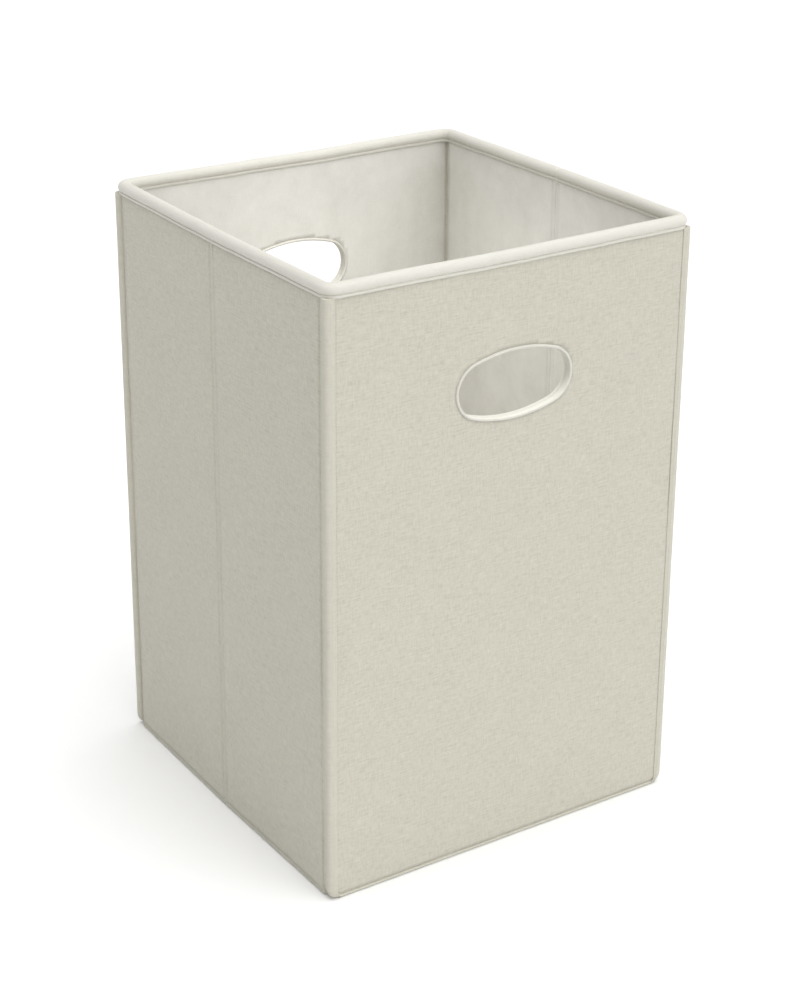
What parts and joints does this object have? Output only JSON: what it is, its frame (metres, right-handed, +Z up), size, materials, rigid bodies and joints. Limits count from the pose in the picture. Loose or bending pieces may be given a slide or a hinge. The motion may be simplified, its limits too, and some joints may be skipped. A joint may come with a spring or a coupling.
{
  "type": "collapsible fabric storage bin",
  "caption": "Tall open-top square fabric bin with an oval bound hand slot in the front and back walls; side walls crease inwards and the base flap lifts so it folds flat.",
  "frame": {"origin": "middle of the footprint at floor level", "axes": "+Z up, the front wall faces -Y, +X to the right along the front wall"},
  "size_m": [0.356, 0.356, 0.538],
  "materials": {
    "cover": "plain linen-look weave",
    "binding": "smooth padded binding, stitched",
    "edge_tape": "woven tape, stitched",
    "liner": "non-woven, slightly mottled",
    "stiff_board": "plain grey-brown board"
  },
  "bodies": {
    "back": {"back_board": "stiff_board", "back_cover": "cover", "back_liner": "liner", "back_slot_binding": "binding", "back_edge_left": "edge_tape", "back_edge_right": "edge_tape", "back_hem": "cover", "back_rim": "binding", "back_left_gusset": "cover", "back_right_gusset": "cover"},
    "left_rear": {"left_rear_board": "stiff_board", "left_rear_cover": "cover", "left_rear_liner": "liner", "left_rear_hem": "cover", "left_rear_rim": "binding", "left_crease_strip": "cover", "left_crease_band": "liner"},
    "left_front": {"left_front_board": "stiff_board", "left_front_cover": "cover", "left_front_liner": "liner", "left_front_hem": "cover", "left_front_rim": "binding"},
    "front": {"front_board": "stiff_board", "front_cover": "cover", "front_liner": "liner", "front_slot_binding": "binding", "front_edge_left": "edge_tape", "front_edge_right": "edge_tape", "front_hem": "cover", "front_rim": "binding", "front_left_gusset": "cover", "front_right_gusset": "cover"},
    "right_rear": {"right_rear_board": "stiff_board", "right_rear_cover": "cover", "right_rear_liner": "liner", "right_rear_hem": "cover", "right_rear_rim": "binding", "right_crease_strip": "cover", "right_crease_band": "liner"},
    "right_front": {"right_front_board": "stiff_board", "right_front_cover": "cover", "right_front_liner": "liner", "right_front_hem": "cover", "right_front_rim": "binding"},
    "base": {"base_board": "stiff_board", "base_cover": "liner", "base_hinge": "liner"}
  },
  "joints": [
    {"name": "base_lift", "type": "hinge", "parent": "back", "child": "base", "pos_m": [0, 0.168, 0.0034], "axis": [-1, 0, 0], "range_deg": [0, 90], "deforming": ["base_hinge"]},
    {"name": "left_rear_fold", "type": "hinge", "parent": "back", "child": "left_rear", "pos_m": [-0.167, 0.165, 0.27], "axis": [0, 0, 1], "range_deg": [0, 88], "deforming": ["back_left_gusset", "left_rear_hem"]},
    {"name": "left_crease", "type": "hinge", "parent": "left_rear", "child": "left_front", "pos_m": [-0.18, 0, 0.27], "axis": [0, 0, 1], "range_deg": [-176, 0], "deforming": ["left_crease_strip", "left_crease_band", "left_front_hem"]},
    {"name": "front_corner_left", "type": "hinge", "parent": "left_front", "child": "front", "pos_m": [-0.167, -0.165, 0.27], "axis": [0, 0, 1], "range_deg": [0, 88], "deforming": ["front_left_gusset", "front_right_gusset", "front_hem"]},
    {"name": "right_rear_fold", "type": "hinge", "parent": "back", "child": "right_rear", "pos_m": [0.167, 0.165, 0.27], "axis": [0, 0, 1], "range_deg": [-88, 0], "deforming": ["back_right_gusset", "right_rear_hem"]},
    {"name": "right_crease", "type": "hinge", "parent": "right_rear", "child": "right_front", "pos_m": [0.18, 0, 0.27], "axis": [0, 0, 1], "range_deg": [0, 176], "deforming": ["right_crease_strip", "right_crease_band", "right_front_hem"]}
  ],
  "couplings": [
    {"joint": "left_crease", "follows": "left_rear_fold", "ratio": -2},
    {"joint": "front_corner_left", "follows": "left_rear_fold", "ratio": 1},
    {"joint": "right_rear_fold", "follows": "left_rear_fold", "ratio": -1},
    {"joint": "right_crease", "follows": "left_rear_fold", "ratio": 2}
  ]
}
